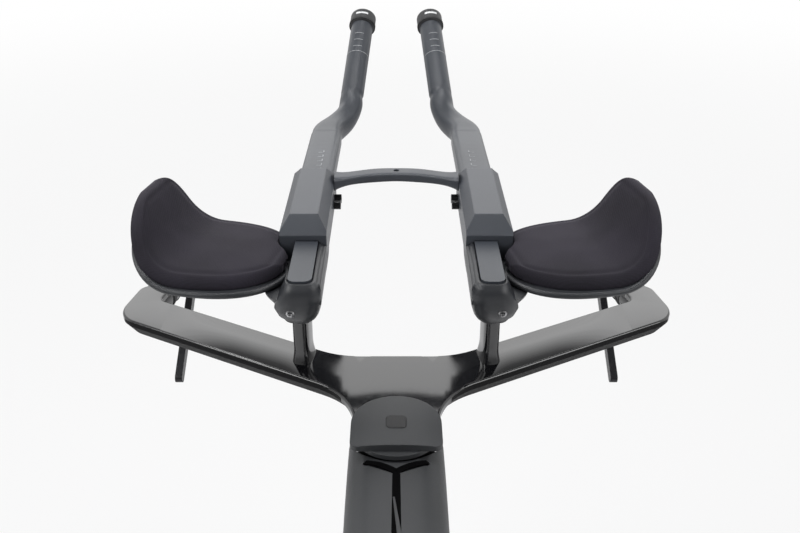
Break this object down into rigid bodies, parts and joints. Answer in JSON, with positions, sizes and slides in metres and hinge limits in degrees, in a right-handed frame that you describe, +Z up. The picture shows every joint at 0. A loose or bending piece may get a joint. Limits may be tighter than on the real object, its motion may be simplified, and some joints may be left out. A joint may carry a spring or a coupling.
{
  "type": "time trial bike",
  "caption": "Time trial bike with low base bar, raised arm rests, upswept extensions, deep-rim front wheel, solid disc rear wheel, aero frame and chain drive.",
  "frame": {"origin": "on the ground in the middle of the bike, halfway between the two axles", "axes": "+X ahead in the direction of travel, +Y to the rider's left, +Z up"},
  "size_m": [1.674, 0.4292, 1.0101],
  "materials": {
    "gloss_carbon": "gloss black lacquer",
    "matte_carbon": "matte dark grey paint",
    "anthracite": "fine matte anthracite",
    "pad_fabric": "dark woven cover over foam",
    "saddle_cover": "matte black cover",
    "tyre": "matte black rubber",
    "wheel_carbon": "satin black",
    "black_alloy": "black anodised",
    "silver_steel": "brushed",
    "dark_steel": "dark plated",
    "rubber": "matte",
    "black_plastic": "moulded"
  },
  "bodies": {
    "frame": {"head_tube": "matte_carbon", "top_tube": "matte_carbon", "down_tube": "matte_carbon", "seat_tube": "matte_carbon", "rear_stays": "matte_carbon", "frame_bearings": "dark_steel", "rear_caliper": "black_alloy", "rear_thru_axle": "black_alloy", "derailleur_body": "black_plastic", "derailleur_cage": "black_alloy", "chain": "silver_steel"},
    "seat": {"seatpost": "matte_carbon", "saddle_clamp": "black_alloy", "saddle_rails": "dark_steel", "saddle_shell": "black_plastic", "saddle_pad": "saddle_cover"},
    "steering": {"fork_crown": "matte_carbon", "fork_blades": "matte_carbon", "base_bar": "gloss_carbon", "stem_cap": "matte_carbon", "stem_cap_plug": "rubber", "extension_bridge": "anthracite", "cockpit_bolts": "dark_steel", "lever_bodies": "black_plastic", "front_caliper": "black_alloy", "front_thru_axle": "black_alloy", "riser_left": "gloss_carbon", "armrest_base_left": "anthracite", "arm_cup_left": "gloss_carbon", "arm_pad_left": "pad_fabric", "extension_clamp_left": "anthracite", "riser_right": "gloss_carbon", "armrest_base_right": "anthracite", "arm_cup_right": "gloss_carbon", "arm_pad_right": "pad_fabric", "extension_clamp_right": "anthracite"},
    "front_wheel": {"front_rim": "wheel_carbon", "front_tyre": "tyre", "front_hub": "black_alloy", "front_spokes": "dark_steel", "front_rotor": "silver_steel"},
    "rear_wheel": {"rear_disc": "wheel_carbon", "rear_tyre": "tyre", "rear_hub": "black_alloy", "rear_rotor": "silver_steel"},
    "crank": {"crankset": "black_alloy", "chainring": "black_alloy"},
    "cassette": {"cassette": "silver_steel"},
    "pedal_left": {"pedal_left": "black_plastic"},
    "pedal_right": {"pedal_right": "black_plastic"},
    "upper_pulley": {"upper_pulley": "black_plastic"},
    "lower_pulley": {"lower_pulley": "black_plastic"},
    "extension_left": {"extension_left": "anthracite", "end_cap_left": "black_plastic"},
    "shift_button_left": {"shift_button_left": "rubber"},
    "brake_lever_left": {"brake_lever_left": "black_alloy"},
    "extension_right": {"extension_right": "anthracite", "end_cap_right": "black_plastic"},
    "shift_button_right": {"shift_button_right": "rubber"},
    "brake_lever_right": {"brake_lever_right": "black_alloy"}
  },
  "joints": [
    {"name": "steer", "type": "hinge", "parent": "frame", "child": "steering", "pos_m": [0.34996, 0, 0.68068], "axis": [-0.2924, 0, 0.9563], "range_deg": [-35, 35]},
    {"name": "seat_height", "type": "slide", "parent": "frame", "child": "seat", "axis": [-0.1908, 0, 0.9816], "range_m": [-0.05, 0.05]},
    {"name": "front_wheel_spin", "type": "hinge", "parent": "steering", "child": "front_wheel", "pos_m": [0.5, 0, 0.337], "axis": [0, 1, 0], "continuous": true},
    {"name": "rear_wheel_spin", "type": "hinge", "parent": "frame", "child": "rear_wheel", "pos_m": [-0.5, 0, 0.337], "axis": [0, 1, 0], "continuous": true},
    {"name": "crank_spin", "type": "hinge", "parent": "frame", "child": "crank", "pos_m": [-0.09692, 0, 0.262], "axis": [0, 1, 0], "continuous": true},
    {"name": "cassette_spin", "type": "hinge", "parent": "frame", "child": "cassette", "pos_m": [-0.5, 0, 0.337], "axis": [0, 1, 0], "continuous": true},
    {"name": "pedal_left_spin", "type": "hinge", "parent": "crank", "child": "pedal_left", "pos_m": [-0.26692, 0.1, 0.262], "axis": [0, 1, 0], "continuous": true},
    {"name": "pedal_right_spin", "type": "hinge", "parent": "crank", "child": "pedal_right", "pos_m": [0.07308, -0.1, 0.262], "axis": [0, 1, 0], "continuous": true},
    {"name": "upper_pulley_spin", "type": "hinge", "parent": "frame", "child": "upper_pulley", "pos_m": [-0.492, -0.04575, 0.255], "axis": [0, 1, 0], "continuous": true},
    {"name": "lower_pulley_spin", "type": "hinge", "parent": "frame", "child": "lower_pulley", "pos_m": [-0.466, -0.04575, 0.195], "axis": [0, 1, 0], "continuous": true},
    {"name": "extension_left_reach", "type": "slide", "parent": "steering", "child": "extension_left", "axis": [1, 0, 0], "range_m": [0, 0.05]},
    {"name": "shift_button_left_press", "type": "slide", "parent": "extension_left", "child": "shift_button_left", "axis": [-0.854, 0.0854, -0.5132], "range_m": [0, 0.002], "stiffness_N_per_m": 500, "springref_m": -0.002},
    {"name": "brake_lever_left_pull", "type": "hinge", "parent": "steering", "child": "brake_lever_left", "pos_m": [0.55418, 0.183, 0.81158], "axis": [0, 1, 0], "range_deg": [0, 14], "stiffness_Nm_per_rad": 6, "springref_deg": -8.59},
    {"name": "extension_right_reach", "type": "slide", "parent": "steering", "child": "extension_right", "axis": [1, 0, 0], "range_m": [0, 0.05]},
    {"name": "shift_button_right_press", "type": "slide", "parent": "extension_right", "child": "shift_button_right", "axis": [-0.854, -0.0854, -0.5132], "range_m": [0, 0.002], "stiffness_N_per_m": 500, "springref_m": -0.002},
    {"name": "brake_lever_right_pull", "type": "hinge", "parent": "steering", "child": "brake_lever_right", "pos_m": [0.55418, -0.183, 0.81158], "axis": [0, 1, 0], "range_deg": [0, 14], "stiffness_Nm_per_rad": 6, "springref_deg": -8.59}
  ],
  "couplings": [
    {"joint": "cassette_spin", "follows": "crank_spin", "ratio": 3.1765},
    {"joint": "upper_pulley_spin", "follows": "crank_spin", "ratio": -4.5},
    {"joint": "lower_pulley_spin", "follows": "crank_spin", "ratio": 4.5}
  ]
}
